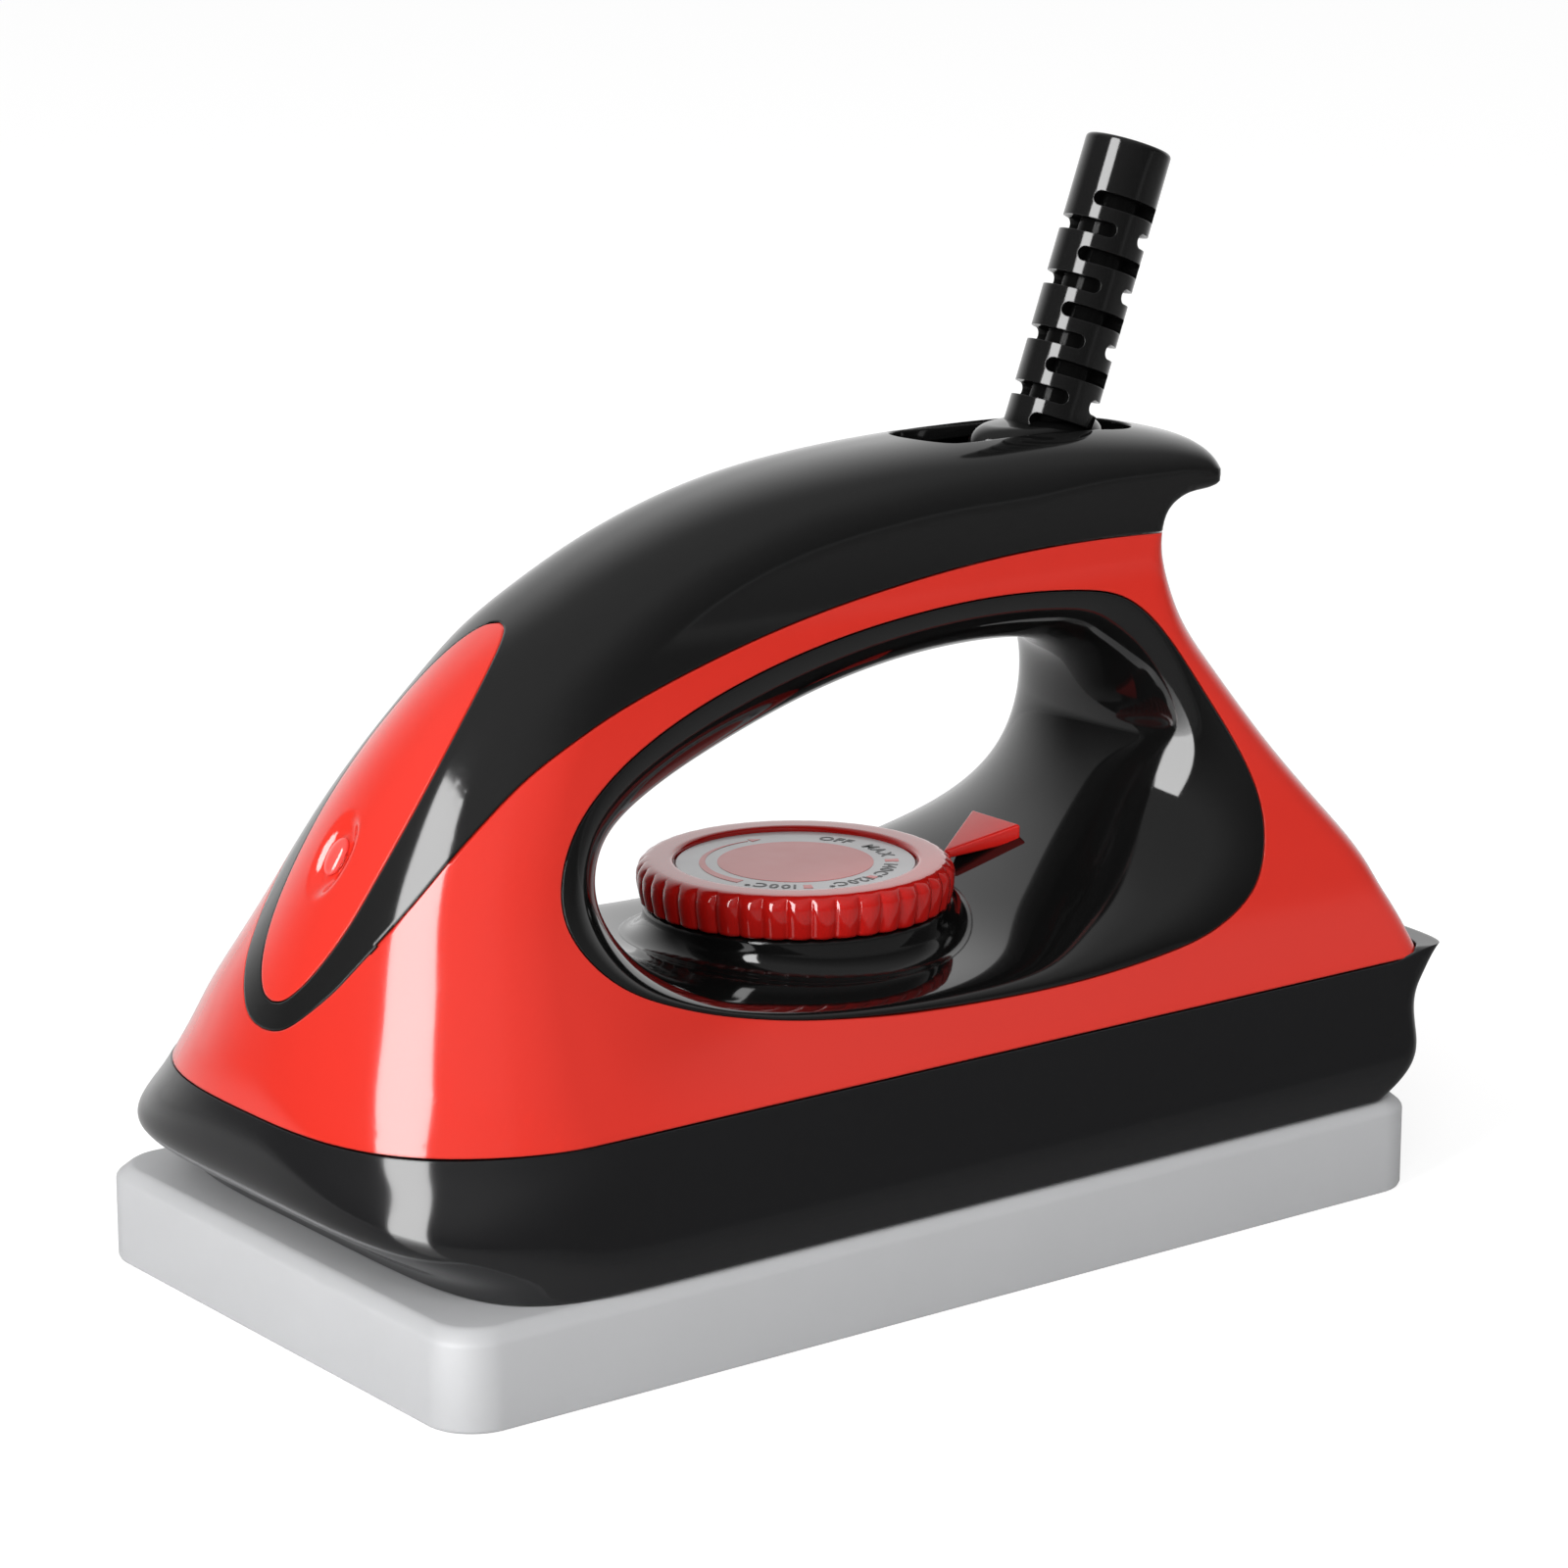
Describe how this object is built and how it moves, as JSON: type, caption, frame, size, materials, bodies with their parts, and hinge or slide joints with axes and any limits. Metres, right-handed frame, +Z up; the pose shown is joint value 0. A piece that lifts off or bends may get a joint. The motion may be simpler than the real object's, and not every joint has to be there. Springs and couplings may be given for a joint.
{
  "type": "waxing iron",
  "caption": "Electric waxing iron for skis and snowboards: flat aluminium sole, black skirt with standing heel, red housing with a hand opening, turning thermostat knob and pivoting cord guard.",
  "frame": {"origin": "centre of the flat underside of the sole plate", "axes": "+Z up out of the sole, nose towards -Y, cord and standing heel towards +Y, X across the iron; symmetric about X = 0 apart from the dial and the inside"},
  "size_m": [0.103, 0.2076, 0.1702],
  "materials": {
    "sole_aluminium": "satin, fine grain",
    "heater_steel": "heat-dulled",
    "terminal_brass": "satin",
    "shield_steel": "satin",
    "spacer_ceramic": "matt ceramic",
    "screw_steel": "zinc plated",
    "thermostat_steel": "satin",
    "thermostat_ceramic": "matt ceramic",
    "spring_brass": "satin",
    "fuse_metal": "satin",
    "clip_brass": "satin",
    "skirt_black": "satin, heat resistant",
    "housing_red": "gloss",
    "cover_black": "gloss",
    "liner_black": "gloss",
    "lens_red": "gloss, translucent",
    "lamp_glass": "clear",
    "knob_red": "gloss",
    "dial_silver": "satin print",
    "pointer_red": "gloss",
    "guard_rubber": "satin",
    "cord_sheath": "matt",
    "block_white": "matt",
    "wire_blue": "satin",
    "wire_brown": "satin",
    "wire_green": "satin",
    "clamp_black": "matt"
  },
  "bodies": {
    "housing": {"sole_plate": "sole_aluminium", "heating_element": "heater_steel", "heater_terminal_left": "terminal_brass", "heater_terminal_right": "terminal_brass", "heat_shield": "shield_steel", "spacer_front_left": "spacer_ceramic", "spacer_front_right": "spacer_ceramic", "spacer_rear_left": "spacer_ceramic", "spacer_rear_right": "spacer_ceramic", "base_screw_front_left": "screw_steel", "base_screw_front_right": "screw_steel", "base_screw_rear_left": "screw_steel", "base_screw_rear_right": "screw_steel", "housing_screw_front_left": "screw_steel", "housing_screw_front_right": "screw_steel", "housing_screw_rear_left": "screw_steel", "housing_screw_rear_right": "screw_steel", "thermostat_screw_front": "screw_steel", "thermostat_screw_rear": "screw_steel", "terminal_screw_live": "screw_steel", "terminal_screw_neutral": "screw_steel", "thermostat_bracket": "thermostat_steel", "thermostat_body": "thermostat_ceramic", "bimetal_strip": "spring_brass", "contact_spring": "spring_brass", "thermostat_bushing": "spring_brass", "thermal_fuse": "fuse_metal", "fuse_clip": "clip_brass", "base_skirt": "skirt_black", "body_shell": "housing_red", "handle_cover": "cover_black", "opening_liner": "liner_black", "indicator_lens": "lens_red", "lamp_lens": "lens_red", "neon_lamp": "lamp_glass", "dial_pointer": "pointer_red", "power_cord": "cord_sheath", "terminal_block": "block_white", "wire_heater": "wire_blue", "wire_thermostat": "wire_brown", "wire_lamp": "wire_brown", "wire_earth": "wire_green", "cord_clamp": "clamp_black"},
    "knob": {"knob": "knob_red", "dial_disc": "dial_silver", "thermostat_shaft": "thermostat_steel"},
    "cord_guard": {"cord_guard": "guard_rubber", "guard_cord_end": "cord_sheath"}
  },
  "joints": [
    {"name": "knob_turn", "type": "hinge", "parent": "housing", "child": "knob", "pos_m": [0, 0.0044, 0.056], "axis": [0, 0, 1], "range_deg": [0, 320]},
    {"name": "guard_tilt", "type": "hinge", "parent": "housing", "child": "cord_guard", "pos_m": [0, 0.0534, 0.117], "axis": [1, 0, 0], "range_deg": [-25, 75]}
  ]
}
